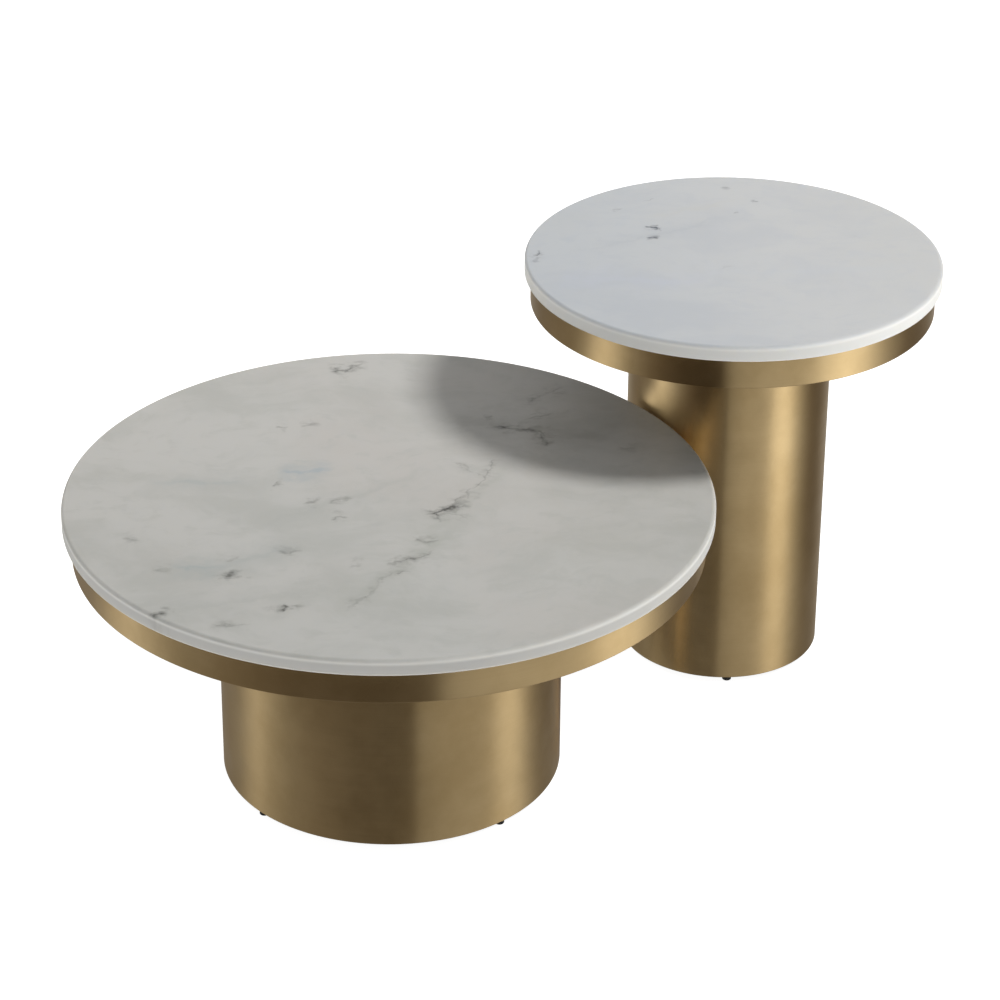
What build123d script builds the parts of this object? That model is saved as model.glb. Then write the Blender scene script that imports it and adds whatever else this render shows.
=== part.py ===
from build123d import *
import os

# A pair of round nesting tables: a low wide one and a tall narrow one whose top reaches over it.
# Lengths are in millimetres, +Z is up and the floor is at Z = 0.
# The origin is in the middle of the pair's footprint, and +X runs from the low table to the tall one.

# Sizes that each table has of its own. The bolt room is the space between the flange bolts' heads
# and the closing panel, and sets how deep the apron is.
low_height = 378.0
low_top_radius = 400.0
low_apron_setback = 10.0
low_bolt_room = 4.2
low_pedestal_radius = 214.0
low_foot_turn = 5.5
low_fixings = 8

tall_height = 556.0
tall_top_radius = 268.0
tall_apron_setback = 8.0
tall_bolt_room = 2.2
tall_pedestal_radius = 131.0
tall_foot_turn = 56.0
tall_fixings = 6

# Between the low slab's rim and the tall table's pedestal, when the pair is pushed together.
nest_gap = 6.0

# Stone slab and the soft pads that it lies on.
slab_thickness = 20.0
slab_top_rounding = 4.5
slab_bottom_rounding = 1.0
pad_thickness = 1.5
pad_radius = 9.0
pad_inset = 45.0

# Board under the slab.
board_thickness = 18.0
board_gap = 0.5

# Rolled sheet metal: the apron with its turned-in lip, and the pedestal.
sheet = 2.0
lip_width = 16.0
apron_edge_rounding = 1.2
pedestal_edge_rounding = 1.2

# Closing panel under the apron, and the blocks that space it from the board.
panel_thickness = 6.0
panel_gap = 1.0
block_length = 40.0
block_width = 24.0

# Angle brackets that hang the apron from the board.
bracket_width = 30.0
bracket_gap = 1.5
bracket_reach = 20.0

# Wood screws: pan heads through the brackets, countersunk heads through the panel.
screw_radius = 2.0
screw_clearance = 0.1
screw_grip = 12.0
screw_tip_gap = 0.5
screw_head_radius = 4.0
screw_head_height = 2.4
socket_radius = 1.5
socket_depth = 1.2

# Flange on top of the pedestal, bolted into threaded inserts in the board.
flange_thickness = 5.0
flange_reach = 30.0
flange_web = 40.0
bolt_radius = 4.0
bolt_inset = 13.0
bolt_tip_gap = 2.0
bolt_head_across = 13.0
bolt_head_height = 5.3
bolt_hole_clearance = 0.5
thread_clearance = 0.05
insert_radius = 6.0
insert_length = 14.0

# Base plate in the foot of the pedestal, and the four adjustable glides.
base_thickness = 6.0
base_lift = 6.0
feet = 4
bush_gap = 1.0
glide_radius = 6.0
glide_height = 5.0
glide_rounding = 1.5
glide_floor = 2.0
stud_radius = 3.0
stud_length = 30.0
stud_hole_clearance = 0.5
bush_radius = 4.5
bush_height = 10.0

STAND = (Align.CENTER, Align.CENTER, Align.MIN)


class Table:
    # The levels and radii of one table, worked out from its own sizes.
    def __init__(self, name, height, top_radius, apron_setback, bolt_room, pedestal_radius,
                 foot_turn, fixings):
        self.name = name
        self.top_radius = top_radius
        self.apron_radius = top_radius - apron_setback
        self.pedestal_radius = pedestal_radius
        self.foot_turn = foot_turn
        self.fixings = fixings
        self.slab_bottom = height - slab_thickness
        self.board_top = self.slab_bottom - pad_thickness
        self.board_bottom = self.board_top - board_thickness
        self.flange_bottom = self.board_bottom - flange_thickness
        self.panel_top = self.flange_bottom - bolt_head_height - bolt_room
        self.panel_bottom = self.panel_top - panel_thickness
        self.apron_bottom = self.panel_bottom - sheet
        self.block_height = self.board_bottom - self.panel_top
        self.bracket_drop = self.block_height - bracket_gap
        self.apron_inner = self.apron_radius - sheet
        self.pedestal_inner = pedestal_radius - sheet
        self.board_radius = self.apron_inner - board_gap
        self.flange_radius = pedestal_radius + flange_reach
        self.bolt_circle = self.flange_radius - bolt_inset
        self.bracket_circle = self.apron_inner - sheet - (bracket_reach - sheet) / 2
        self.block_circle = (self.flange_radius + self.apron_inner - bracket_reach) / 2
        self.foot_circle = self.pedestal_inner - bush_gap - bush_radius

    def bracket_spots(self):
        return around(self.fixings, self.bracket_circle, 0)

    def block_spots(self):
        return around(self.fixings, self.block_circle, 180 / self.fixings)

    def bolt_spots(self):
        return around(self.fixings, self.bolt_circle, 0)

    def foot_spots(self):
        return around(feet, self.foot_circle, self.foot_turn)


def around(count, radius, first_angle):
    # Evenly spaced places on a circle, each one's X pointing outwards.
    return [Rot(0, 0, first_angle + 360 * step / count) * Pos(radius, 0, 0) for step in range(count)]


def disc(radius, bottom, height):
    return Pos(0, 0, bottom) * Cylinder(radius, height, align=STAND)


def group(pieces):
    # Separate solids that share one node.
    return Compound([solid for piece in pieces for solid in piece.solids()])


def ring(outer, inner, bottom, height):
    return disc(outer, bottom, height) - disc(inner, bottom, height)


def round_outer_edge(shape, level, amount):
    # Rounds the widest circular edge that lies at one level.
    edges = shape.edges().filter_by(GeomType.CIRCLE).filter_by_position(Axis.Z, level - 0.01, level + 0.01)
    return fillet(edges.sort_by(SortBy.RADIUS)[-1], amount)


def drilled(shape, spots, radius, bottom, height):
    for spot in spots:
        shape -= spot * disc(radius, bottom, height)
    return shape


def marble_top(table):
    slab = disc(table.top_radius, table.slab_bottom, slab_thickness)
    slab = round_outer_edge(slab, table.slab_bottom + slab_thickness, slab_top_rounding)
    return round_outer_edge(slab, table.slab_bottom, slab_bottom_rounding)


def slab_pads(table):
    pad = disc(pad_radius, table.board_top, pad_thickness)
    spots = around(table.fixings, table.board_radius - pad_inset, 180 / table.fixings)
    return group(spot * pad for spot in spots)


def sub_top(table):
    board = disc(table.board_radius, table.board_top - board_thickness, board_thickness)
    board = drilled(board, table.bracket_spots(), screw_radius, table.board_bottom, screw_grip)
    return drilled(board, table.bolt_spots(), insert_radius, table.board_bottom, insert_length)


def apron(table):
    drop = table.board_top - table.apron_bottom
    wall = ring(table.apron_radius, table.apron_inner, table.apron_bottom, drop)
    lip = ring(table.apron_radius, table.apron_radius - lip_width, table.apron_bottom, sheet)
    return round_outer_edge(wall + lip, table.apron_bottom, apron_edge_rounding)


def apron_brackets(table):
    # Each bracket is a short arc of an angle section, so its leg lies flat on the curved apron.
    leg_bottom = table.board_bottom - table.bracket_drop
    leg = ring(table.apron_inner, table.apron_inner - sheet, leg_bottom, table.bracket_drop)
    foot = ring(table.apron_inner, table.apron_inner - bracket_reach, table.board_bottom - sheet, sheet)
    hoop = leg + foot
    brackets = []
    for spot in table.bracket_spots():
        cutter = Box(2 * bracket_reach + sheet, bracket_width, 2 * table.bracket_drop)
        bracket = hoop & (spot * Pos(0, 0, table.board_bottom) * cutter)
        hole = spot * disc(screw_radius + screw_clearance, table.board_bottom - sheet, sheet)
        brackets.append(bracket - hole)
    return group(brackets)


def socket(bottom):
    # The hexagonal driving recess in a screw head.
    return Pos(0, 0, bottom) * extrude(RegularPolygon(socket_radius, 6), socket_depth)


def bracket_screws(table):
    underside = table.board_bottom - sheet
    head = disc(screw_head_radius, underside - screw_head_height, screw_head_height)
    shank = disc(screw_radius, underside, sheet + screw_grip)
    screw = head + shank - socket(underside - screw_head_height)
    return group(spot * screw for spot in table.bracket_spots())


def countersink(spread):
    cone = Cone(screw_head_radius + spread, screw_radius + spread, screw_head_height, align=STAND)
    return cone + disc(screw_radius + spread, screw_head_height, panel_thickness - screw_head_height)


def closing_panel(table):
    outside, inside = table.apron_inner - panel_gap, table.pedestal_radius + panel_gap
    panel = ring(outside, inside, table.panel_bottom, panel_thickness)
    for spot in table.block_spots():
        panel -= spot * Pos(0, 0, table.panel_bottom) * countersink(screw_clearance)
    return panel


def panel_screws(table):
    shank = disc(screw_radius, panel_thickness, table.block_height - screw_tip_gap)
    screw = Pos(0, 0, table.panel_bottom) * (countersink(0) + shank - socket(0))
    return group(spot * screw for spot in table.block_spots())


def spacer_blocks(table):
    block = Pos(0, 0, table.panel_top) * Box(block_width, block_length, table.block_height, align=STAND)
    block -= disc(screw_radius, table.panel_top, table.block_height - screw_tip_gap)
    return group(spot * block for spot in table.block_spots())


def pedestal_flange(table):
    bottom, hole = table.flange_bottom, bolt_radius + bolt_hole_clearance
    plate = ring(table.flange_radius, table.pedestal_inner - flange_web, bottom, flange_thickness)
    return drilled(plate, table.bolt_spots(), hole, bottom, flange_thickness)


def flange_bolts(table):
    profile = RegularPolygon(bolt_head_across / 2, 6, major_radius=False)
    head = Pos(0, 0, table.flange_bottom - bolt_head_height) * extrude(profile, bolt_head_height)
    bolt = head + disc(bolt_radius, table.flange_bottom, flange_thickness + insert_length - bolt_tip_gap)
    return group(spot * bolt for spot in table.bolt_spots())


def board_inserts(table):
    insert = ring(insert_radius, bolt_radius + thread_clearance, table.board_bottom, insert_length)
    return group(spot * insert for spot in table.bolt_spots())


def pedestal(table):
    shell = ring(table.pedestal_radius, table.pedestal_inner, base_lift, table.flange_bottom - base_lift)
    return round_outer_edge(shell, base_lift, pedestal_edge_rounding)


def base_plate(table):
    plate = disc(table.pedestal_inner, base_lift, base_thickness)
    return drilled(plate, table.foot_spots(), stud_radius + stud_hole_clearance, base_lift, base_thickness)


def base_bushes(table):
    bush = ring(bush_radius, stud_radius + thread_clearance, base_lift + base_thickness, bush_height)
    return group(spot * bush for spot in table.foot_spots())


def glide():
    body = disc(glide_radius, 0, glide_height)
    body = round_outer_edge(body, 0, glide_rounding)
    return body - disc(stud_radius, glide_floor, glide_height - glide_floor)


def glide_stud():
    return disc(stud_radius, glide_floor, stud_length)


def parts_of(table):
    # Every piece of one table on the table's own axis, by its node name without the table's name.
    parts = {
        "marble_top": marble_top(table),
        "slab_pads": slab_pads(table),
        "sub_top": sub_top(table),
        "apron": apron(table),
        "apron_brackets": apron_brackets(table),
        "bracket_screws": bracket_screws(table),
        "closing_panel": closing_panel(table),
        "panel_screws": panel_screws(table),
        "spacer_blocks": spacer_blocks(table),
        "pedestal_flange": pedestal_flange(table),
        "flange_bolts": flange_bolts(table),
        "board_inserts": board_inserts(table),
        "pedestal": pedestal(table),
        "base_plate": base_plate(table),
        "base_bushes": base_bushes(table),
    }
    for number, spot in enumerate(table.foot_spots(), start=1):
        parts[f"glide_{number}"] = spot * glide()
        parts[f"glide_stud_{number}"] = spot * glide_stud()
    return parts


low = Table(
    "low",
    low_height,
    low_top_radius,
    low_apron_setback,
    low_bolt_room,
    low_pedestal_radius,
    low_foot_turn,
    low_fixings,
)
tall = Table(
    "tall",
    tall_height,
    tall_top_radius,
    tall_apron_setback,
    tall_bolt_room,
    tall_pedestal_radius,
    tall_foot_turn,
    tall_fixings,
)

# The pair is centred lengthwise: the low slab's far edge and the tall slab's far edge are its ends.
centre_distance = low.top_radius + nest_gap + tall.pedestal_radius
pair_length = low.top_radius + centre_distance + tall.top_radius
low_centre = low.top_radius - pair_length / 2
tall_centre = low_centre + centre_distance

os.makedirs("parts", exist_ok=True)
for table, centre in ((low, low_centre), (tall, tall_centre)):
    for node, shape in parts_of(table).items():
        export_step(Pos(centre, 0, 0) * shape, f"parts/{table.name}_{node}.step")
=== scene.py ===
import math
import bmesh
import bpy
from mathutils import Matrix, Vector


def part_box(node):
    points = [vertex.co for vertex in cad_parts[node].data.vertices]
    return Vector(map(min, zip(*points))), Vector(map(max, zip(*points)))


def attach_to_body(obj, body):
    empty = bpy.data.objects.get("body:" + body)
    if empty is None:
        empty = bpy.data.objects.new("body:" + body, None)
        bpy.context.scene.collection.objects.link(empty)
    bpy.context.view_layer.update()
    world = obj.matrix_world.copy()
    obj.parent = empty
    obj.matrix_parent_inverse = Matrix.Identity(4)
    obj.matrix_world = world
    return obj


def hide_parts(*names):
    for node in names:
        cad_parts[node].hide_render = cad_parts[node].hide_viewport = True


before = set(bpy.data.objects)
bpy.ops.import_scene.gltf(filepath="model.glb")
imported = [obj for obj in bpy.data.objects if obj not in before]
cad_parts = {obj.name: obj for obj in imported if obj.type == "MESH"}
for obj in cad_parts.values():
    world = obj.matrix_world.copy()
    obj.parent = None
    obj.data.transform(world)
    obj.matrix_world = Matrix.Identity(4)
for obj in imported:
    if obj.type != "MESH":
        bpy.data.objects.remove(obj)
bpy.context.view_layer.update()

tableNames = ("low", "tall")


def feed(tree, node, inputs):
    # Gives a node's inputs numbers or other nodes' outputs.
    for socket, value in inputs.items():
        if isinstance(value, bpy.types.NodeSocket):
            tree.links.new(value, node.inputs[socket])
        else:
            node.inputs[socket].default_value = value


def put(tree, kind, inputs=None, **settings):
    node = tree.nodes.new(kind)
    for name, value in settings.items():
        setattr(node, name, value)
    feed(tree, node, inputs or {})
    return node


def calc(tree, operation, a, b=0.0, c=0.0):
    return put(tree, "ShaderNodeMath", {0: a, 1: b, 2: c}, operation=operation).outputs[0]


def fade(tree, value, start, end, low=0.0, high=1.0):
    # A soft step: low at start, high at end, and flat outside.
    limits = {"Value": value, "From Min": start, "From Max": end, "To Min": low, "To Max": high}
    return put(tree, "ShaderNodeMapRange", limits, interpolation_type="SMOOTHSTEP").outputs["Result"]


def noise(tree, place, scale, detail=3.0, seed=0.0, roughness=0.5):
    inputs = {"Vector": place, "Scale": scale, "Detail": detail, "W": seed, "Roughness": roughness}
    return put(tree, "ShaderNodeTexNoise", inputs, noise_dimensions="4D").outputs["Fac"]


def blend(tree, amount, first, second, mode="MIX"):
    inputs = {"Factor": amount, "A": first, "B": second}
    node = tree.nodes.new("ShaderNodeMix")
    node.data_type = "RGBA"
    node.blend_type = mode
    sockets = {"Factor": node.inputs[0], "A": node.inputs[6], "B": node.inputs[7]}
    for name, value in inputs.items():
        if isinstance(value, bpy.types.NodeSocket):
            tree.links.new(value, sockets[name])
        else:
            sockets[name].default_value = value
    return node.outputs[2]


def solid(red, green, blue):
    return (red, green, blue, 1.0)


def emptyMaterial(name):
    material = bpy.data.materials.new(name)
    material.use_nodes = True
    tree = material.node_tree
    tree.nodes.clear()
    return material, tree


def showSurface(tree, shader):
    tree.links.new(shader, tree.nodes.new("ShaderNodeOutputMaterial").inputs["Surface"])


def newMaterial(name):
    material, tree = emptyMaterial(name)
    shader = tree.nodes.new("ShaderNodeBsdfPrincipled")
    showSurface(tree, shader.outputs["BSDF"])
    return material, tree, shader


def bump(tree, shader, height, strength, distance):
    node = put(tree, "ShaderNodeBump", {"Height": height, "Strength": strength, "Distance": distance})
    tree.links.new(node.outputs["Normal"], shader.inputs["Normal"])


def objectPlace(tree):
    return put(tree, "ShaderNodeTexCoord").outputs["Object"]


def seenFrom(tree, middle, turn=0.0):
    # Object places measured from an upright axis, and turned round it by so many degrees.
    settings = {"Vector": objectPlace(tree), "Location": (middle[0], middle[1], 0.0),
                "Rotation": (0.0, 0.0, math.radians(turn))}
    return put(tree, "ShaderNodeMapping", settings, vector_type="TEXTURE").outputs["Vector"]


def joined(tree, operation, first, second):
    # Two vectors added, subtracted or multiplied.
    return put(tree, "ShaderNodeVectorMath", {0: first, 1: second}, operation=operation).outputs["Vector"]


def stretched(tree, place, scale):
    return joined(tree, "MULTIPLY", place, scale)


def dot(tree, first, second):
    settings = {0: first, 1: second}
    return put(tree, "ShaderNodeVectorMath", settings, operation="DOT_PRODUCT").outputs["Value"]


def parts(tree, vector):
    return put(tree, "ShaderNodeSeparateXYZ", {"Vector": vector}).outputs


def vector(tree, x=0.0, y=0.0, z=0.0):
    return put(tree, "ShaderNodeCombineXYZ", {"X": x, "Y": y, "Z": z}).outputs["Vector"]


def addObject(name, data):
    thing = bpy.data.objects.new(name, data)
    bpy.context.scene.collection.objects.link(thing)
    return thing


def middleOf(node):
    low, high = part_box(node)
    return (low[0] + high[0]) / 2, (low[1] + high[1]) / 2


def radiusOf(node):
    low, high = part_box(node)
    return max(high[0] - low[0], high[1] - low[1]) / 2


def levelsOf(node):
    low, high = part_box(node)
    return low[2], high[2]


def veinGroup():
    # One vein or blot: a soft line through a centre, fading at both ends, with a wider smudge round it.
    # Swell and Speckle are noises shared by every vein of a slab; Place is already pushed about by noise.
    group = bpy.data.node_groups.new("marbleVein", "ShaderNodeTree")
    face = group.interface
    face.new_socket("Place", in_out="INPUT", socket_type="NodeSocketVector")
    face.new_socket("Centre", in_out="INPUT", socket_type="NodeSocketVector")
    for name in ("Swell", "Speckle", "Turn", "Length", "Width", "Depth"):
        face.new_socket(name, in_out="INPUT", socket_type="NodeSocketFloat")
    face.new_socket("Mask", in_out="OUTPUT", socket_type="NodeSocketFloat")
    given = group.nodes.new("NodeGroupInput").outputs
    settings = {"Vector": given["Place"], "Location": given["Centre"],
                "Rotation": vector(group, z=given["Turn"])}
    turned = put(group, "ShaderNodeMapping", settings, vector_type="TEXTURE").outputs["Vector"]
    part = parts(group, turned)
    reach = calc(group, "MULTIPLY", given["Width"], given["Swell"])
    across = calc(group, "DIVIDE", calc(group, "ABSOLUTE", part["Y"]), reach)
    along = calc(group, "DIVIDE", calc(group, "ABSOLUTE", part["X"]), given["Length"])
    core = fade(group, across, 0.0, 1.3, 1.0, 0.0)
    smudge = calc(group, "MULTIPLY", fade(group, across, 0.3, 4.5, 0.55, 0.0), given["Speckle"])
    broken = calc(group, "MULTIPLY", core, calc(group, "MULTIPLY_ADD", given["Speckle"], 0.55, 0.45))
    ends = fade(group, along, 0.22, 0.62, 1.0, 0.0)
    mask = calc(group, "MULTIPLY", calc(group, "MAXIMUM", broken, smudge), ends)
    result = group.nodes.new("NodeGroupOutput")
    group.links.new(calc(group, "MULTIPLY", mask, given["Depth"]), result.inputs["Mask"])
    return group


marbleVein = veinGroup()
slabShape = {"topRounding": 0.0045, "bottomRounding": 0.0010, "flatEdge": 0.0006, "steps": 288}

# Veins: x and y from the slab's middle, turn in degrees, length and width in metres, and how dark.
# Stains are wide and faint, each with its own colour.
lowMarble = {
    "body": solid(0.548, 0.546, 0.530),
    "shade": solid(0.478, 0.482, 0.462),
    "warm": solid(0.540, 0.520, 0.498),
    "vein": solid(0.075, 0.075, 0.068),
    "arris": solid(0.76, 0.755, 0.72),   # the eased edge, painted paler than the polished face as a painted highlight
    "sawnSidePaintedLight": solid(0.55, 0.545, 0.52),
    "paintedShadeSide": -115.0,         # degrees, the side of the slab painted a shade darker: painted shade, as if less light reached it
    "paintedShadeReach": 0.90,
    "paintedShadeTone": solid(0.955, 0.96, 0.955),
    "grain": -36.0,
    "cloudScale": 5.5,
    "veins": [
        (0.147, -0.013, 42, 0.034, 0.0018, 0.55), (0.127, -0.029, 34, 0.036, 0.0024, 0.62),
        (0.106, -0.042, 27, 0.040, 0.0026, 0.62), (0.080, -0.058, 50, 0.036, 0.0026, 0.55),
        (0.034, -0.073, 6, 0.050, 0.0038, 1.25), (0.060, -0.067, 20, 0.036, 0.0028, 0.60),
        (0.020, -0.082, 60, 0.026, 0.0030, 0.90), (0.032, -0.090, -75, 0.038, 0.0018, 0.50),
        (0.115, 0.004, -78, 0.036, 0.0016, 0.42), (0.126, -0.025, -50, 0.030, 0.0018, 0.40),
        (-0.032, -0.121, -37, 0.022, 0.0028, 0.62), (-0.052, -0.150, 15, 0.020, 0.0030, 0.66),
        (-0.066, -0.152, -10, 0.022, 0.0028, 0.72), (-0.087, -0.147, -10, 0.034, 0.0028, 0.66),
        (-0.098, -0.168, 0, 0.022, 0.0026, 0.60), (-0.124, -0.172, 30, 0.050, 0.0022, 0.38),
        (-0.168, -0.194, 22, 0.060, 0.0026, 0.42),
        (0.231, 0.054, -40, 0.060, 0.0044, 1.00), (0.246, 0.030, -72, 0.044, 0.0046, 0.95),
        (0.242, 0.005, 70, 0.038, 0.0036, 0.75), (0.275, 0.064, -15, 0.036, 0.0034, 0.55),
        (0.300, 0.104, 20, 0.044, 0.0034, 0.50), (0.335, 0.110, 0, 0.040, 0.0034, 0.50),
        (0.150, 0.322, 0, 0.034, 0.0044, 1.30), (0.173, 0.325, -25, 0.026, 0.0038, 0.85),
        (0.217, 0.097, 0, 0.016, 0.0040, 0.45), (0.316, -0.072, -30, 0.024, 0.0036, 0.36),
        (-0.089, 0.037, -30, 0.020, 0.0040, 0.62), (-0.057, 0.017, 0, 0.030, 0.0034, 0.45),
        (-0.084, -0.014, -36, 0.022, 0.0036, 0.62), (-0.011, 0.227, -36, 0.018, 0.0038, 0.50),
        (0.023, 0.215, -30, 0.022, 0.0038, 0.50), (-0.100, 0.095, -36, 0.010, 0.0034, 0.66),
        (-0.269, -0.063, 60, 0.018, 0.0046, 0.85), (-0.325, 0.000, -36, 0.022, 0.0036, 0.40),
        (-0.182, -0.047, -36, 0.024, 0.0040, 0.45), (-0.132, -0.124, -36, 0.020, 0.0044, 0.50),
        (-0.243, -0.031, 10, 0.024, 0.0044, 0.42), (-0.255, -0.161, 60, 0.016, 0.0044, 0.95),
        (-0.322, 0.081, -36, 0.016, 0.0036, 0.40), (-0.384, -0.090, -20, 0.034, 0.0050, 1.10),
        (-0.392, -0.112, -60, 0.020, 0.0036, 0.90),
        (-0.330, -0.160, -36, 0.050, 0.0030, 0.45),
    ],
    "stains": [
        (-0.052, 0.108, -38, 0.062, 0.007, solid(0.36, 0.42, 0.46), 1.00),
        (-0.172, 0.157, -30, 0.110, 0.006, solid(0.42, 0.45, 0.45), 0.80),
        (-0.288, -0.018, -30, 0.060, 0.007, solid(0.36, 0.41, 0.42), 0.90),
        (-0.235, -0.040, 0, 0.150, 0.010, solid(0.42, 0.44, 0.43), 0.70),
        (0.060, -0.075, 25, 0.260, 0.012, solid(0.42, 0.43, 0.40), 0.60),
        (-0.100, -0.160, 20, 0.300, 0.013, solid(0.42, 0.43, 0.40), 0.70),
        (-0.290, -0.120, -20, 0.200, 0.010, solid(0.42, 0.43, 0.41), 0.60),
        (0.245, 0.040, -50, 0.240, 0.016, solid(0.36, 0.36, 0.34), 0.75),
        (-0.060, 0.020, 0, 0.260, 0.010, solid(0.43, 0.44, 0.42), 0.60),
    ],
}

tallMarble = {
    "body": solid(0.608, 0.620, 0.630),
    "shade": solid(0.565, 0.583, 0.608),
    "warm": solid(0.600, 0.606, 0.602),
    "vein": solid(0.07, 0.08, 0.11),
    # The eased edge and the sawn side are painted much paler than the face: a painted highlight and painted
    # light on the rim.
    "arris": solid(0.95, 0.95, 0.92),
    "sawnSidePaintedLight": solid(0.85, 0.85, 0.82),
    "paintedShadeSide": 150.0,
    "paintedShadeReach": 0.60,
    "paintedShadeTone": solid(0.90, 0.925, 0.955),
    "grain": -34.0,
    "cloudScale": 6.5,
    "veins": [
        (-0.028, 0.134, -60, 0.015, 0.0030, 1.90), (-0.024, 0.128, -60, 0.010, 0.0018, 0.70),
        (-0.044, 0.109, -50, 0.013, 0.0026, 1.00), (0.025, 0.209, -30, 0.012, 0.0022, 0.62),
        (-0.027, 0.209, -40, 0.014, 0.0022, 0.50), (0.144, 0.126, -60, 0.012, 0.0022, 0.80),
        (0.099, 0.108, -40, 0.010, 0.0020, 0.80), (0.133, 0.183, -30, 0.012, 0.0020, 0.40),
        (-0.201, 0.154, 60, 0.011, 0.0028, 1.00), (-0.210, 0.140, 60, 0.016, 0.0024, 0.55),
        (-0.030, -0.020, -20, 0.030, 0.0014, 0.16), (0.170, -0.040, -36, 0.040, 0.0014, 0.12),
    ],
    "stains": [
        (-0.042, 0.116, -6, 0.260, 0.005, solid(0.47, 0.50, 0.54), 0.55),
        (0.060, 0.150, -10, 0.160, 0.006, solid(0.58, 0.58, 0.56), 0.45),
        (-0.150, 0.020, -40, 0.220, 0.012, solid(0.55, 0.58, 0.66), 0.55),
        (0.040, -0.080, -30, 0.340, 0.014, solid(0.58, 0.61, 0.65), 0.45),
    ],
}


def noisePush(tree, place, scale, detail, amount):
    # A noise vector with a zero mean, for pushing places about.
    inputs = {"Vector": place, "Scale": scale, "Detail": detail}
    push = put(tree, "ShaderNodeTexNoise", inputs).outputs["Color"]
    centred = joined(tree, "SUBTRACT", push, (0.5, 0.5, 0.5))
    sized = {0: centred, "Scale": amount}
    return put(tree, "ShaderNodeVectorMath", sized, operation="SCALE").outputs["Vector"]


def marbleMaterial(name, look, middle, top):
    material, tree, shader = newMaterial(name)
    local = seenFrom(tree, middle)
    bedding = seenFrom(tree, middle, look["grain"])
    bent = joined(tree, "ADD", bedding, noisePush(tree, local, 5.0, 4.0, 0.16))
    # The ground: clouds along the bedding, a warm blush, a fine mottle, and painted shade that darkens one
    # side as if less light reached it.
    clouds = noise(tree, stretched(tree, bent, (1.0, 1.8, 1.0)), look["cloudScale"], 6.0, 1.3, 0.6)
    colour = blend(tree, fade(tree, clouds, 0.42, 0.64, 0.0, 0.85), look["body"], look["shade"])
    blush = noise(tree, local, 3.2, 3.0, 5.4)
    colour = blend(tree, fade(tree, blush, 0.46, 0.70, 0.0, 0.7), colour, look["warm"])
    mottle = noise(tree, stretched(tree, bent, (1.0, 1.7, 1.0)), 26.0, 4.0, 2.2, 0.62)
    colour = blend(tree, fade(tree, mottle, 0.48, 0.70, 0.0, 0.62), colour, look["shade"])
    # Painted shade: the colour darkens towards one side of the slab, standing in for light that falls off
    # across it.
    paintedShadeTurn = math.radians(look["paintedShadeSide"])
    toSide = dot(tree, local, (math.cos(paintedShadeTurn), math.sin(paintedShadeTurn), 0.0))
    reach = radiusOf("low_marble_top") * look["paintedShadeReach"]
    colour = blend(tree, fade(tree, toSide, -0.5 * reach, reach), colour, look["paintedShadeTone"], "MULTIPLY")
    # Places pushed about, coarsely and finely, so that straight veins wander.
    coarse = noisePush(tree, local, 26.0, 3.0, 0.034)
    fine = noisePush(tree, local, 95.0, 5.0, 0.014)
    speckle = noise(tree, stretched(tree, bedding, (1.0, 2.0, 1.0)), 48.0, 5.0, 9.5, 0.62)
    drift = noise(tree, stretched(tree, bent, (1.0, 1.6, 1.0)), 17.0, 5.0, 3.7, 0.55)
    crisp = {
        "Place": joined(tree, "ADD", joined(tree, "ADD", coarse, fine), local),
        "Swell": fade(tree, noise(tree, local, 60.0, 4.0, 6.4, 0.6), 0.3, 0.7, 0.5, 1.7),
        "Speckle": fade(tree, speckle, 0.41, 0.64),
    }
    faint = {**crisp, "Speckle": fade(tree, drift, 0.30, 0.72)}
    for x, y, turn, length, width, tint, depth in look["stains"]:
        mask = put(tree, "ShaderNodeGroup", node_tree=marbleVein)
        feed(tree, mask, {**faint, "Centre": (x, y, 0.0), "Turn": math.radians(turn), "Length": length,
                          "Width": width, "Depth": depth})
        colour = blend(tree, mask.outputs[0], colour, tint)
    darkest = None
    for x, y, turn, length, width, depth in look["veins"]:
        mask = put(tree, "ShaderNodeGroup", node_tree=marbleVein)
        feed(tree, mask, {**crisp, "Centre": (x, y, 0.0), "Turn": math.radians(turn), "Length": length,
                          "Width": width, "Depth": depth})
        strength = mask.outputs[0]
        darkest = strength if darkest is None else calc(tree, "MAXIMUM", darkest, strength)
    colour = blend(tree, darkest, colour, look["vein"])
    # Below the polished face: first the eased arris, then the sawn edge, both duller, with a painted
    # highlight on the arris and, on the tall slab, painted light on the sawn side.
    level = parts(tree, objectPlace(tree))["Z"]
    soft = slabShape["topRounding"]
    side = fade(tree, level, top - soft * 1.2, top - 0.0003, 1.0, 0.0)
    lower = fade(tree, level, top - soft * 1.9, top - soft * 0.9, 1.0, 0.0)
    rim = blend(tree, lower, look["arris"], look["sawnSidePaintedLight"])
    colour = blend(tree, calc(tree, "MULTIPLY", side, 0.85), colour, rim)
    tree.links.new(colour, shader.inputs["Base Color"])
    polish = fade(tree, noise(tree, local, 14.0, 3.0, 6.0), 0.35, 0.7, 0.29, 0.34)
    tree.links.new(calc(tree, "MULTIPLY_ADD", side, 0.26, polish), shader.inputs["Roughness"])
    shader.inputs["IOR"].default_value = 1.49
    shader.inputs["Subsurface Weight"].default_value = 0.6
    shader.inputs["Subsurface Radius"].default_value = (1.0, 0.92, 0.80)
    shader.inputs["Subsurface Scale"].default_value = 0.010
    return material


brassLook = {
    "bright": solid(0.63, 0.468, 0.245),
    "aged": solid(0.52, 0.372, 0.180),
    "roughness": 0.32,
    "spread": 1.00,
}


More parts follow.
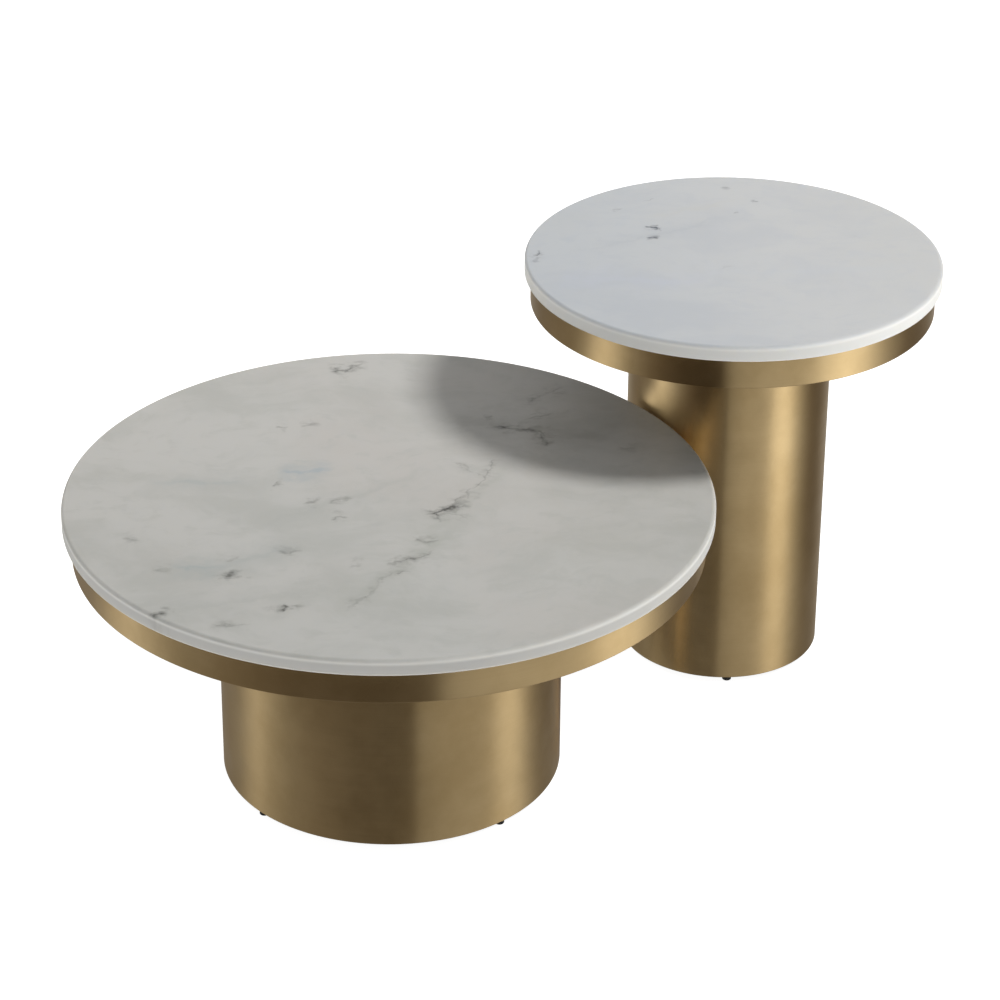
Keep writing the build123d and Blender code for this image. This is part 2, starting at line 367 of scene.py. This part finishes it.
def brassMaterial():
    # Satin brass, brushed round the drum, so that the light spreads up and down it.
    material, tree, shader = newMaterial("antiqueBrass")
    sheet = put(tree, "ShaderNodeUVMap", uv_map="sheet").outputs["UV"]
    place = objectPlace(tree)
    patina = noise(tree, place, 7.0, 5.0, 1.0, 0.6)
    colour = blend(tree, fade(tree, patina, 0.35, 0.68), brassLook["bright"], brassLook["aged"])
    strokes = noise(tree, stretched(tree, sheet, (5.0, 1600.0, 1.0)), 1.0, 3.0, 2.0, 0.6)
    colour = blend(tree, fade(tree, strokes, 0.3, 0.75, 0.0, 0.22), colour, brassLook["aged"])
    tree.links.new(colour, shader.inputs["Base Color"])
    shader.inputs["Metallic"].default_value = 1.0
    smudge = fade(tree, noise(tree, place, 16.0, 4.0, 3.0, 0.6), 0.35, 0.7, -0.025, 0.05)
    dull = calc(tree, "ADD", smudge, fade(tree, strokes, 0.2, 0.8, -0.02, 0.03))
    tree.links.new(calc(tree, "ADD", dull, brassLook["roughness"]), shader.inputs["Roughness"])
    shader.inputs["Anisotropic"].default_value = brassLook["spread"]
    shader.inputs["Anisotropic Rotation"].default_value = 0.25
    tangent = put(tree, "ShaderNodeTangent", direction_type="UV_MAP", uv_map="sheet")
    tree.links.new(tangent.outputs["Tangent"], shader.inputs["Tangent"])
    bump(tree, shader, strokes, 0.05, 0.0001)
    return material


def boardMaterial(name, light, dark, grainTurn, scale):
    # Bare wood: long grain lines and slower colour drift, the grain also as a fine bump.
    material, tree, shader = newMaterial(name)
    place = objectPlace(tree)
    turned = put(tree, "ShaderNodeVectorRotate", {"Vector": place, "Angle": math.radians(grainTurn)},
                 rotation_type="Z_AXIS").outputs["Vector"]
    grain = noise(tree, stretched(tree, turned, (1.2, 26.0, 26.0)), scale, 6.0, 1.0, 0.62)
    drift = noise(tree, stretched(tree, turned, (0.6, 3.0, 3.0)), scale, 3.0, 2.0)
    tone = calc(tree, "ADD", calc(tree, "MULTIPLY", grain, 0.6), calc(tree, "MULTIPLY", drift, 0.4))
    tree.links.new(blend(tree, fade(tree, tone, 0.35, 0.66), light, dark), shader.inputs["Base Color"])
    tree.links.new(fade(tree, grain, 0.3, 0.7, 0.52, 0.68), shader.inputs["Roughness"])
    bump(tree, shader, grain, 0.12, 0.0003)
    return material


def coatMaterial(name, colour, worn, roughness, grit, metallic):
    # A plain coat or plate: fine grit, slow colour drift and a few rubbed spots.
    material, tree, shader = newMaterial(name)
    place = objectPlace(tree)
    drift = noise(tree, place, 9.0, 5.0, 1.0, 0.6)
    rubs = fade(tree, noise(tree, place, 34.0, 5.0, 4.0, 0.65), 0.56, 0.74, 0.0, 0.5)
    base = blend(tree, fade(tree, drift, 0.35, 0.7, 0.0, 0.45), colour, worn)
    tree.links.new(blend(tree, rubs, base, worn), shader.inputs["Base Color"])
    dull = fade(tree, drift, 0.3, 0.7, roughness - 0.05, roughness + 0.07)
    tree.links.new(dull, shader.inputs["Roughness"])
    shader.inputs["Metallic"].default_value = metallic
    bump(tree, shader, noise(tree, place, grit, 2.0, 2.0), 0.10, 0.0002)
    return material


def siliconeMaterial():
    material, tree, shader = newMaterial("clearSilicone")
    place = objectPlace(tree)
    haze = noise(tree, place, 120.0, 3.0, 1.0)
    colour = blend(tree, haze, solid(0.72, 0.73, 0.72), solid(0.86, 0.87, 0.86))
    tree.links.new(colour, shader.inputs["Base Color"])
    tree.links.new(fade(tree, haze, 0.3, 0.7, 0.28, 0.42), shader.inputs["Roughness"])
    shader.inputs["Transmission Weight"].default_value = 0.45
    bump(tree, shader, noise(tree, place, 900.0, 2.0, 3.0), 0.08, 0.0002)
    return material


# Coats and plates: colour, worn colour, roughness, grit size and metallic share.
coats = {
    "blackBoard": (solid(0.022, 0.021, 0.020), solid(0.045, 0.043, 0.040), 0.62, 500.0, 0.0),
    "blackCoat": (solid(0.020, 0.020, 0.021), solid(0.050, 0.050, 0.052), 0.42, 1400.0, 0.0),
    "plainSteel": (solid(0.42, 0.42, 0.43), solid(0.27, 0.26, 0.25), 0.42, 260.0, 1.0),
    "zincSteel": (solid(0.66, 0.67, 0.68), solid(0.50, 0.51, 0.52), 0.34, 700.0, 1.0),
    "blackRubber": (solid(0.012, 0.012, 0.012), solid(0.035, 0.034, 0.033), 0.55, 900.0, 0.0),
}

brass = brassMaterial()
plywood = boardMaterial("plywood", solid(0.62, 0.46, 0.28), solid(0.46, 0.31, 0.17), 20.0, 6.0)
beech = boardMaterial("beech", solid(0.60, 0.40, 0.24), solid(0.46, 0.28, 0.15), 75.0, 12.0)
coated = {name: coatMaterial(name, *look) for name, look in coats.items()}
silicone = siliconeMaterial()
marbles = {}
for table, look in (("low", lowMarble), ("tall", tallMarble)):
    slabNode = table + "_marble_top"
    marbles[table] = marbleMaterial(table + "Marble", look, middleOf(slabNode), levelsOf(slabNode)[1])
print("materials ready:", len(bpy.data.materials))


def geometry(tree, kind, inputs):
    return put(tree, kind, inputs).outputs["Geometry"]


def finishTree(tree, shape, finish, outputName):
    # The end of every tree: plain geometry with its material.
    whole = geometry(tree, "GeometryNodeRealizeInstances", {"Geometry": shape})
    done = geometry(tree, "GeometryNodeSetMaterial", {"Geometry": whole, "Material": finish})
    tree.links.new(done, tree.nodes.new("NodeGroupOutput").inputs[outputName])


def turningTree():
    # Turns a profile, a chain of points in the XZ plane, round an upright axis.
    tree = bpy.data.node_groups.new("turnedShape", "GeometryNodeTree")
    face = tree.interface
    face.new_socket("Profile", in_out="INPUT", socket_type="NodeSocketGeometry")
    face.new_socket("Steps", in_out="INPUT", socket_type="NodeSocketInt")
    face.new_socket("Axis", in_out="INPUT", socket_type="NodeSocketVector")
    face.new_socket("Finish", in_out="INPUT", socket_type="NodeSocketMaterial")
    face.new_socket("Shape", in_out="OUTPUT", socket_type="NodeSocketGeometry")
    given = tree.nodes.new("NodeGroupInput").outputs
    profileSize = put(tree, "GeometryNodeAttributeDomainSize", {"Geometry": given["Profile"]})
    count = profileSize.outputs["Point Count"]
    around = calc(tree, "ADD", given["Steps"], 1.0)
    grid = put(tree, "GeometryNodeMeshGrid", {"Vertices X": around, "Vertices Y": count}).outputs["Mesh"]
    index = put(tree, "GeometryNodeInputIndex").outputs["Index"]
    step = calc(tree, "FLOOR", calc(tree, "DIVIDE", calc(tree, "ADD", index, 0.5), count))
    row = calc(tree, "SUBTRACT", index, calc(tree, "MULTIPLY", step, count))
    where = put(tree, "GeometryNodeInputPosition").outputs["Position"]
    pick = put(tree, "GeometryNodeSampleIndex", {"Geometry": given["Profile"], "Index": row},
               data_type="FLOAT_VECTOR")
    tree.links.new(where, pick.inputs["Value"])
    part = parts(tree, pick.outputs["Value"])
    angle = calc(tree, "MULTIPLY", step, calc(tree, "DIVIDE", 2 * math.pi, given["Steps"]))
    x = calc(tree, "MULTIPLY", part["X"], calc(tree, "COSINE", angle))
    y = calc(tree, "MULTIPLY", part["X"], calc(tree, "SINE", angle))
    moved = joined(tree, "ADD", vector(tree, x, y, part["Z"]), given["Axis"])
    placed = geometry(tree, "GeometryNodeSetPosition", {"Geometry": grid, "Position": moved})
    merged = geometry(tree, "GeometryNodeMergeByDistance", {"Geometry": placed, "Distance": 0.000002})
    finishTree(tree, merged, given["Finish"], "Shape")
    return tree


def scatterTree():
    # Sets copies of a piece on a circle, each turned to face outwards.
    tree = bpy.data.node_groups.new("ringOfPieces", "GeometryNodeTree")
    face = tree.interface
    face.new_socket("Piece", in_out="INPUT", socket_type="NodeSocketGeometry")
    face.new_socket("Count", in_out="INPUT", socket_type="NodeSocketInt")
    for name in ("Radius", "First"):
        face.new_socket(name, in_out="INPUT", socket_type="NodeSocketFloat")
    face.new_socket("Axis", in_out="INPUT", socket_type="NodeSocketVector")
    face.new_socket("Finish", in_out="INPUT", socket_type="NodeSocketMaterial")
    face.new_socket("Pieces", in_out="OUTPUT", socket_type="NodeSocketGeometry")
    given = tree.nodes.new("NodeGroupInput").outputs
    index = put(tree, "GeometryNodeInputIndex").outputs["Index"]
    share = calc(tree, "MULTIPLY", index, calc(tree, "DIVIDE", 2 * math.pi, given["Count"]))
    angle = calc(tree, "ADD", share, given["First"])
    x = calc(tree, "MULTIPLY", given["Radius"], calc(tree, "COSINE", angle))
    y = calc(tree, "MULTIPLY", given["Radius"], calc(tree, "SINE", angle))
    moved = joined(tree, "ADD", vector(tree, x, y), given["Axis"])
    points = put(tree, "GeometryNodePoints", {"Count": given["Count"], "Position": moved}).outputs[0]
    settings = {"Points": points, "Instance": given["Piece"], "Rotation": vector(tree, z=angle)}
    copies = put(tree, "GeometryNodeInstanceOnPoints", settings).outputs["Instances"]
    finishTree(tree, copies, given["Finish"], "Pieces")
    return tree


turnedShape = turningTree()
ringOfPieces = scatterTree()


def grow(name, startMesh, tree, inputs):
    # Runs a node tree on a starting mesh and keeps the result as a plain mesh.
    piece = addObject(name, startMesh)
    modifier = piece.modifiers.new("grow", "NODES")
    modifier.node_group = tree
    for item in tree.interface.items_tree:
        if item.in_out == "INPUT" and item.name in inputs:
            modifier[item.identifier] = inputs[item.name]
    bpy.context.view_layer.update()
    evaluated = piece.evaluated_get(bpy.context.evaluated_depsgraph_get())
    mesh = bpy.data.meshes.new_from_object(evaluated)
    piece.modifiers.clear()
    piece.data = mesh
    mesh.name = name
    return piece


def soften(piece, sharpAngle=32.0):
    mesh = piece.data
    mesh.polygons.foreach_set("use_smooth", [True] * len(mesh.polygons))
    mesh.set_sharp_from_angle(angle=math.radians(sharpAngle))


def wrapSheet(mesh, axis):
    # The map "sheet": round the axis one way, and along the wall or lip the other, both in metres.
    layer = mesh.uv_layers.new(name="sheet")
    for polygon in mesh.polygons:
        facing = polygon.center - axis
        middle = math.atan2(facing.y, facing.x)
        for loopIndex in polygon.loop_indices:
            point = mesh.vertices[mesh.loops[loopIndex].vertex_index].co - axis
            radius = math.hypot(point.x, point.y)
            turn = math.atan2(point.y, point.x) - middle
            turn = (turn + math.pi) % (2 * math.pi) - math.pi
            reach = math.hypot(facing.x, facing.y)
            layer.data[loopIndex].uv = ((middle + turn) * reach, point.z + radius)


def faceOutwards(mesh):
    shape = bmesh.new()
    shape.from_mesh(mesh)
    bmesh.ops.recalc_face_normals(shape, faces=shape.faces)
    if shape.calc_volume(signed=True) < 0:
        bmesh.ops.reverse_faces(shape, faces=shape.faces)
    shape.to_mesh(mesh)
    shape.free()


def turned(name, profile, axis, steps, finish):
    # profile is a list of (radius, level) points, given so that the outside comes out facing outwards.
    start = bpy.data.meshes.new(name + "Profile")
    start.from_pydata([(radius, 0.0, level) for radius, level in profile], [], [])
    inputs = {"Steps": steps, "Axis": (axis[0], axis[1], 0.0), "Finish": finish}
    piece = grow(name, start, turnedShape, inputs)
    faceOutwards(piece.data)
    wrapSheet(piece.data, Vector((axis[0], axis[1], 0.0)))
    soften(piece)
    return piece


def rounding(middle, radius, start, end, steps=6):
    # Points on an arc of the profile, from one angle to the other, in degrees.
    points = []
    for step in range(steps + 1):
        angle = math.radians(start + (end - start) * step / steps)
        points.append((middle[0] + radius * math.cos(angle), middle[1] + radius * math.sin(angle)))
    return points


def attach(piece, body, nodes):
    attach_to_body(piece, body)
    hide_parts(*nodes)


def makeSlab(table):
    node = table + "_marble_top"
    bottom, top = levelsOf(node)
    radius = radiusOf(node)
    soft, arris, flat = (slabShape[key] for key in ("topRounding", "bottomRounding", "flatEdge"))
    profile = [(0.0, top), (radius * 0.5, top), (radius - soft - flat, top)]
    profile += rounding((radius - soft, top - soft), soft, 90, 0, 10)
    profile += [(radius, top - soft - flat), (radius, bottom + arris + flat)]
    profile += rounding((radius - arris, bottom + arris), arris, 0, -90, 4)
    profile += [(radius - arris - flat, bottom), (radius * 0.5, bottom), (0.0, bottom)]
    slab = turned(table + "Slab", profile, middleOf(node), slabShape["steps"], marbles[table])
    attach(slab, table + "_top", [node])


apronShape = {"sheet": 0.002, "lip": 0.016, "edgeRounding": 0.0012, "rimRounding": 0.0005, "steps": 288}


def makeApron(table):
    node = table + "_apron"
    bottom, top = levelsOf(node)
    outer = radiusOf(node)
    sheet, lip, edge, rim = (apronShape[key] for key in ("sheet", "lip", "edgeRounding", "rimRounding"))
    inner = outer - sheet
    flat = 0.0006
    profile = rounding((outer - rim, top - rim), rim, 90, 0, 3)
    profile += [(outer, top - rim - flat), (outer, bottom + edge + flat)]
    profile += rounding((outer - edge, bottom + edge), edge, 0, -90, 6)
    profile += [(outer - edge - flat, bottom), (outer - lip + rim + flat, bottom)]
    profile += rounding((outer - lip + rim, bottom + rim), rim, -90, -180, 3)
    profile += rounding((outer - lip + rim, bottom + sheet - rim), rim, 180, 90, 3)
    profile += [(inner - flat, bottom + sheet), (inner, bottom + sheet), (inner, bottom + sheet + flat)]
    profile += [(inner, top - rim - flat)]
    profile += rounding((inner + rim, top - rim), rim, 180, 90, 3)
    profile.append(profile[0])
    apron = turned(table + "Apron", profile, middleOf(node), apronShape["steps"], brass)
    attach(apron, table + "_base", [node])


drumShape = {"sheet": 0.002, "edgeRounding": 0.0012, "rimRounding": 0.0004, "steps": 256}


def makeDrum(table):
    node = table + "_pedestal"
    bottom, top = levelsOf(node)
    outer = radiusOf(node)
    sheet, edge, rim = (drumShape[key] for key in ("sheet", "edgeRounding", "rimRounding"))
    inner = outer - sheet
    flat = 0.0006
    profile = rounding((outer - rim, top - rim), rim, 90, 0, 3)
    profile += [(outer, top - rim - flat), (outer, bottom + edge + flat)]
    profile += rounding((outer - edge, bottom + edge), edge, 0, -90, 6)
    profile += [(inner, bottom), (inner, bottom + flat), (inner, top - rim - flat)]
    profile += rounding((inner + rim, top - rim), rim, 180, 90, 3)
    profile.append(profile[0])
    drum = turned(table + "Drum", profile, middleOf(node), drumShape["steps"], brass)
    attach(drum, table + "_base", [node])


glideShape = {"rounding": 0.0015, "waist": 0.0005, "steps": 48}


def makeGlides(table):
    for number in (1, 2, 3, 4):
        node = f"{table}_glide_{number}"
        bottom, top = levelsOf(node)
        radius = radiusOf(node)
        soft, waist = glideShape["rounding"], glideShape["waist"]
        middle = (bottom + top) / 2 + soft / 2
        profile = [(0.0, top), (radius - waist * 2, top)]
        profile += rounding((radius - waist, top - waist), waist, 90, 0, 3)
        profile += [(radius, middle + waist), (radius - waist, middle + waist / 2)]
        profile.append((radius - waist, middle))
        profile += [(radius, middle - waist / 2), (radius, bottom + soft + 0.0002)]
        profile += rounding((radius - soft, bottom + soft), soft, 0, -90, 5)
        profile += [(radius - soft - 0.0003, bottom), (0.0, bottom)]
        glide = turned(f"{table}Glide{number}", profile, middleOf(node), glideShape["steps"],
                       coated["blackRubber"])
        attach(glide, f"{table}_foot_{number}", [node])


padShape = {"low": 8, "tall": 6, "radius": 0.009, "rounding": 0.0003, "steps": 40}


def makePads(table):
    # One soft pad, set in a ring; the first stands half a step round from +X.
    node = table + "_slab_pads"
    bottom, top = levelsOf(node)
    low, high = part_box(node)
    count, radius, soft = padShape[table], padShape["radius"], padShape["rounding"]
    first = math.pi / count
    profile = [(0.0, top), (radius * 0.6, top)]
    profile += rounding((radius - soft, top - soft), soft, 90, 0, 3)
    profile += rounding((radius - soft, bottom + soft), soft, 0, -90, 3)
    profile += [(radius * 0.6, bottom), (0.0, bottom)]
    pad = turned(table + "Pad", profile, (0.0, 0.0), padShape["steps"], silicone)
    middle = middleOf(node)
    inputs = {"Count": count, "First": first, "Radius": ((high[0] - low[0]) / 2 - radius) / math.cos(first),
              "Axis": (middle[0], middle[1], 0.0), "Finish": silicone}
    pads = grow(table + "Pads", pad.data, ringOfPieces, inputs)
    bpy.data.objects.remove(pad)
    faceOutwards(pads.data)
    soften(pads)
    attach(pads, table + "_base", [node])


for table in tableNames:
    makeSlab(table)
    makeApron(table)
    makeDrum(table)
    makeGlides(table)
    makePads(table)
print("turned pieces made")

# The pieces that keep their CAD shape, each with its finish.
keptFinish = {
    "sub_top": plywood,
    "spacer_blocks": beech,
    "closing_panel": coated["blackBoard"],
    "base_plate": coated["blackCoat"],
    "pedestal_flange": coated["plainSteel"],
    "apron_brackets": coated["zincSteel"],
    "board_inserts": coated["zincSteel"],
    "base_bushes": coated["zincSteel"],
    "bracket_screws": coated["zincSteel"],
    "flange_bolts": coated["zincSteel"],
    "panel_screws": coated["blackCoat"],
}
for number in (1, 2, 3, 4):
    keptFinish[f"glide_stud_{number}"] = coated["zincSteel"]

for table in tableNames:
    for node, finish in keptFinish.items():
        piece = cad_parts[f"{table}_{node}"]
        piece.data.materials.clear()
        piece.data.materials.append(finish)
print("kept pieces finished")


view = {
    "azimuth": -36.29,      # degrees, 0 looks along +Y and 90 along -X
    "pitch": 28.10,         # degrees below the horizon
    "roll": 0.40,           # degrees, the view's right side hangs lower
    "aim": (-0.0155, 0.0256, 0.300),
    "distance": 4.3447,
    "lens": 123.21,
    "sensor": 36.0,
}


def cameraAxes():
    azimuth, pitch, roll = (math.radians(view[key]) for key in ("azimuth", "pitch", "roll"))
    level = Vector((-math.sin(azimuth), math.cos(azimuth), 0.0))
    side = Vector((math.cos(azimuth), math.sin(azimuth), 0.0))
    forward = level * math.cos(pitch) - Vector((0, 0, math.sin(pitch)))
    up = level * math.sin(pitch) + Vector((0, 0, math.cos(pitch)))
    right = side * math.cos(roll) + up * math.sin(roll)
    rolledUp = up * math.cos(roll) - side * math.sin(roll)
    return side, level, right, rolledUp, forward


sideways, awayLevel, cameraRight, cameraUp, cameraForward = cameraAxes()


def makeCamera():
    data = bpy.data.cameras.new("camera")
    data.lens = view["lens"]
    data.sensor_width = view["sensor"]
    data.clip_end = 50.0
    camera = addObject("camera", data)
    place = Vector(view["aim"]) - cameraForward * view["distance"]
    columns = (cameraRight, cameraUp, -cameraForward)
    turn = Matrix([[column[row] for column in columns] for row in range(3)])
    camera.matrix_world = Matrix.Translation(place) @ turn.to_4x4()
    bpy.context.scene.camera = camera


makeCamera()


studio = {
    "floorSize": 14.0,
    "floorColour": solid(0.50, 0.50, 0.50),
    "floorGlow": 0.84,      # towards the tables
    "floorSeen": 0.93,      # towards the camera
    "skyStrength": 0.295,
    "sky": solid(0.98, 0.99, 1.0),
    "wallRadius": 1.30,
    "wallMiddle": (0.066, 0.0),
    "wallFoot": -3.20,
    "wallHead": 2.20,
    "wallFade": (-0.50, -0.20),         # from plain below to the bands above
    "wallPlain": solid(0.285, 0.275, 0.265),
    "wallPlainShare": 0.90,
    "circleSteps": 96,
    "shadeGap": 0.0012,
    "shadeSpread": 1.33,
    "shadeContrast": 1.35,
    "shadeStrength": 1.35,
}

# Each lamp shines at its centre. turn is measured round from the camera towards its right, height above
# the horizon, both in degrees.
lamps = {
    "key": {"centre": (0.25, 0.0, 0.45), "turn": 96.0, "height": 54.0, "distance": 10.0, "size": 2.30,
            "power": 790.0, "colour": (1.0, 0.985, 0.96)},
    "fill": {"centre": (*middleOf("low_marble_top"), levelsOf("low_marble_top")[1]), "turn": -135.0,
             "height": 22.0, "distance": 2.2, "size": 0.9, "power": 11.5, "colour": (1.0, 0.94, 0.84)},
}

# What the metal mirrors, by its direction round the tables, from behind them (-180) past the left (-90),
# the camera (0) and the right (90) to behind again: angle, brightness.
wallBands = [
    (-180, 0.42), (-160, 0.40), (-141, 0.24), (-122, 0.30), (-106, 0.30), (-94, 0.42), (-85, 0.84),
    (-79, 1.05), (-69, 0.60), (-59, 0.36), (-50, 0.25), (-41, 0.18), (-30, 0.11), (-10, 0.075),
    (3, 0.095), (7, 0.46), (16, 0.60), (28, 0.73), (44, 0.78), (52, 0.94), (60, 1.55), (68, 1.92),
    (76, 1.68), (84, 1.00), (92, 0.52), (102, 0.23), (114, 0.17), (126, 0.30), (140, 0.50),
    (160, 0.44), (180, 0.42),
]


def ringRamp(tree, place, spread=1.0):
    # Brightness looked up by direction; place counts from the middle, and spread widens its angle.
    toCamera = dot(tree, place, tuple(-awayLevel))
    toSide = dot(tree, place, tuple(sideways))
    angle = calc(tree, "ARCTAN2", toSide, toCamera)
    spot = calc(tree, "MULTIPLY_ADD", angle, spread / (2 * math.pi), 0.5)
    ramp = put(tree, "ShaderNodeValToRGB", {"Fac": spot})
    ramp.color_ramp.interpolation = "LINEAR"
    stops = ramp.color_ramp.elements
    while len(stops) < len(wallBands):
        stops.new(0.5)
    for stop, (degrees, level) in zip(stops, wallBands):
        stop.position = degrees / 360.0 + 0.5
        warmth = max(0.0, 1.0 - level / 0.4)
        stop.color = (level, level * (1 - 0.20 * warmth), level * (1 - 0.36 * warmth), 1.0)
    return ramp.outputs["Color"]


def makeRoom():
    world = bpy.data.worlds.new("studio")
    bpy.context.scene.world = world
    world.use_nodes = True
    tree = world.node_tree
    tree.nodes.clear()
    light = put(tree, "ShaderNodeBackground", {"Color": studio["sky"], "Strength": studio["skyStrength"]})
    plain = put(tree, "ShaderNodeBackground", {"Color": solid(1.0, 1.0, 1.0), "Strength": 1.0})
    seen = put(tree, "ShaderNodeLightPath").outputs["Is Camera Ray"]
    mixed = put(tree, "ShaderNodeMixShader", {0: seen, 1: light.outputs[0], 2: plain.outputs[0]})
    tree.links.new(mixed.outputs[0], tree.nodes.new("ShaderNodeOutputWorld").inputs["Surface"])


def clearBelow(tree, shader):
    under = put(tree, "ShaderNodeNewGeometry").outputs["Backfacing"]
    clear = put(tree, "ShaderNodeBsdfTransparent").outputs[0]
    return put(tree, "ShaderNodeMixShader", {0: under, 1: shader, 2: clear}).outputs[0]


def circlePoints(middle, radius, level, count):
    points = []
    for step in range(count):
        angle = 2 * math.pi * step / count
        points.append((middle[0] + radius * math.cos(angle), middle[1] + radius * math.sin(angle), level))
    return points


def mirrorOnly(name, points, faces, material):
    # A glowing sheet that nothing but a mirror reflection sees.
    mesh = bpy.data.meshes.new(name)
    mesh.from_pydata(points, [], faces)
    mesh.materials.append(material)
    sheet = addObject(name, mesh)
    for ray in ("camera", "diffuse", "transmission", "shadow", "volume_scatter"):
        setattr(sheet, "visible_" + ray, False)


def makeWall():
    # Round, so that both tables catch its light and dark parts from where they stand. It goes below
    # the floor because upright metal seen from above mirrors what is below.
    middle, radius, count = studio["wallMiddle"], studio["wallRadius"], studio["circleSteps"]
    points = circlePoints(middle, radius, studio["wallFoot"], count)
    points += circlePoints(middle, radius, studio["wallHead"], count)
    faces = []
    for step in range(count):
        after = (step + 1) % count
        faces.append((step, step + count, after + count, after))
    material, tree = emptyMaterial("wallLight")
    place = seenFrom(tree, middle)
    low, high = studio["wallFade"]
    plain = fade(tree, parts(tree, place)["Z"], low, high, studio["wallPlainShare"], 0.0)
    colour = blend(tree, plain, ringRamp(tree, place), studio["wallPlain"])
    glow = put(tree, "ShaderNodeEmission", {"Color": colour, "Strength": 1.0})
    showSurface(tree, glow.outputs[0])
    mirrorOnly("wall", points, faces, material)


def makeShade():
    # Lies just over the low slab and only mirrors looking down on it see it, so that the tall table's
    # metal keeps the wall's light and dark parts instead of a plain pale slab.
    level = levelsOf("low_marble_top")[1] + studio["shadeGap"]
    count = studio["circleSteps"]
    points = circlePoints(middleOf("low_marble_top"), radiusOf("low_marble_top"), level, count)
    material, tree = emptyMaterial("shadeLight")
    bands = ringRamp(tree, seenFrom(tree, middleOf("tall_marble_top")), studio["shadeSpread"])
    settings = {"Color": bands, "Gamma": studio["shadeContrast"]}
    bands = put(tree, "ShaderNodeGamma", settings).outputs["Color"]
    settings = {"Color": bands, "Strength": studio["shadeStrength"]}
    glow = put(tree, "ShaderNodeEmission", settings).outputs[0]
    showSurface(tree, clearBelow(tree, glow))
    mirrorOnly("shade", points, [tuple(range(count))], material)


def makeFloor():
    half = studio["floorSize"] / 2
    corners = [(-half, -half, 0), (half, -half, 0), (half, half, 0), (-half, half, 0)]
    mesh = bpy.data.meshes.new("floor")
    mesh.from_pydata(corners, [], [(0, 1, 2, 3)])
    floor = addObject("floor", mesh)
    material, tree = emptyMaterial("paleFloor")
    shader = tree.nodes.new("ShaderNodeBsdfPrincipled")
    seen = put(tree, "ShaderNodeLightPath").outputs["Is Camera Ray"]
    glow = fade(tree, seen, 0.0, 1.0, studio["floorGlow"], studio["floorSeen"])
    shader.inputs["Base Color"].default_value = studio["floorColour"]
    shader.inputs["Roughness"].default_value = 0.9
    shader.inputs["Specular IOR Level"].default_value = 0.0
    shader.inputs["Emission Color"].default_value = solid(1.0, 1.0, 1.0)
    tree.links.new(glow, shader.inputs["Emission Strength"])
    # Clear from below, so that the undersides can be looked at.
    showSurface(tree, clearBelow(tree, shader.outputs["BSDF"]))
    mesh.materials.append(material)
    floor.visible_glossy = False


def softbox(name, centre, turn, height, distance, size, power, colour):
    data = bpy.data.lights.new(name, "AREA")
    data.shape = "DISK"
    data.size = size
    data.energy = power
    data.color = colour
    lamp = addObject(name, data)
    around, lift = math.radians(turn), math.radians(height)
    flat = -awayLevel * math.cos(around) + sideways * math.sin(around)
    direction = flat * math.cos(lift) + Vector((0, 0, math.sin(lift)))
    lamp.location = Vector(centre) + direction * distance
    lamp.rotation_euler = direction.to_track_quat("Z", "Y").to_euler()
    lamp.visible_glossy = False


makeRoom()
makeWall()
makeShade()
makeFloor()
for name, lamp in lamps.items():
    softbox(name, **lamp)
bpy.context.scene.view_settings.view_transform = "Standard"
print("studio set up")
